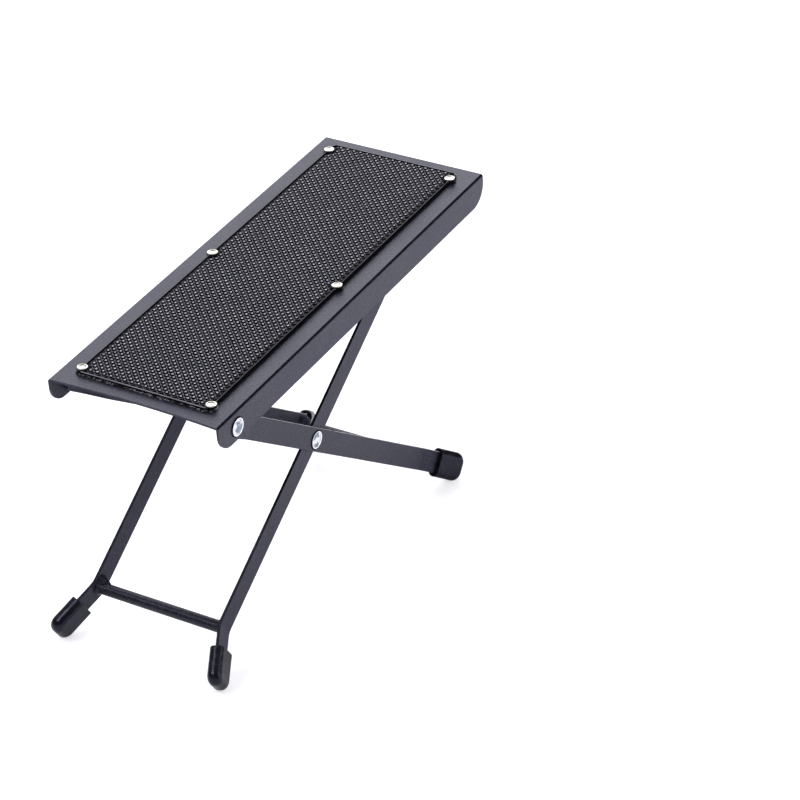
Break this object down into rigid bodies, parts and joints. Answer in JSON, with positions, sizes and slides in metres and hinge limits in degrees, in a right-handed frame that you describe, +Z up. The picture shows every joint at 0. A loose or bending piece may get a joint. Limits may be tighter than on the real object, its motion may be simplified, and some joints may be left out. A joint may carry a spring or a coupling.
{
  "type": "folding guitar footrest",
  "caption": "Folding footrest: a channel-shaped sheet tray with a studded rubber mat on a scissor stand of flat strips, its height set by a rod under notched racks.",
  "frame": {"origin": "on the floor, under the middle of the whole stand", "axes": "+X to the right across the tray, +Y towards the tray's high far end, +Z up"},
  "size_m": [0.0994, 0.2594, 0.1684],
  "materials": {
    "tray_paint": "dark blue-grey satin enamel with a fine texture",
    "frame_paint": "dark blue-grey satin enamel, worn at the edges",
    "mat_rubber": "black moulded rubber with small raised studs",
    "cap_rubber": "glossy black moulded rubber",
    "rivet_steel": "bright nickel plating",
    "washer_steel": "plain zinc-plated steel"
  },
  "bodies": {
    "outer_frame": {"outer_leg_left": "frame_paint", "outer_leg_right": "frame_paint", "rear_crossbar": "frame_paint", "rear_crossbar_welds": "frame_paint", "rear_foot_cap_left": "cap_rubber", "rear_foot_cap_right": "cap_rubber", "tray_pivot_rivet_left": "rivet_steel", "tray_pivot_rivet_right": "rivet_steel", "tray_pivot_spacer_left": "washer_steel", "tray_pivot_spacer_right": "washer_steel", "centre_pivot_rivet_left": "rivet_steel", "centre_pivot_rivet_right": "rivet_steel"},
    "tray": {"tray": "tray_paint", "rack_left": "tray_paint", "rack_right": "tray_paint", "tread_mat": "mat_rubber", "mat_rivets": "rivet_steel"},
    "inner_frame": {"inner_leg_left": "frame_paint", "inner_leg_right": "frame_paint", "front_crossbar": "frame_paint", "front_crossbar_welds": "frame_paint", "lock_rod": "frame_paint", "lock_rod_welds": "frame_paint", "front_foot_cap_left": "cap_rubber", "front_foot_cap_right": "cap_rubber", "centre_pivot_washer_left": "washer_steel", "centre_pivot_washer_right": "washer_steel", "centre_tail_washer_left": "washer_steel", "centre_tail_washer_right": "washer_steel"}
  },
  "joints": [
    {"name": "tray_lift", "type": "hinge", "parent": "outer_frame", "child": "tray", "pos_m": [0, -0.10372, 0.13399], "axis": [1, 0, 0], "range_deg": [0, 130]},
    {"name": "frame_fold", "type": "hinge", "parent": "outer_frame", "child": "inner_frame", "pos_m": [0, -0.02246, 0.0842], "axis": [1, 0, 0], "range_deg": [-54, 0]}
  ]
}
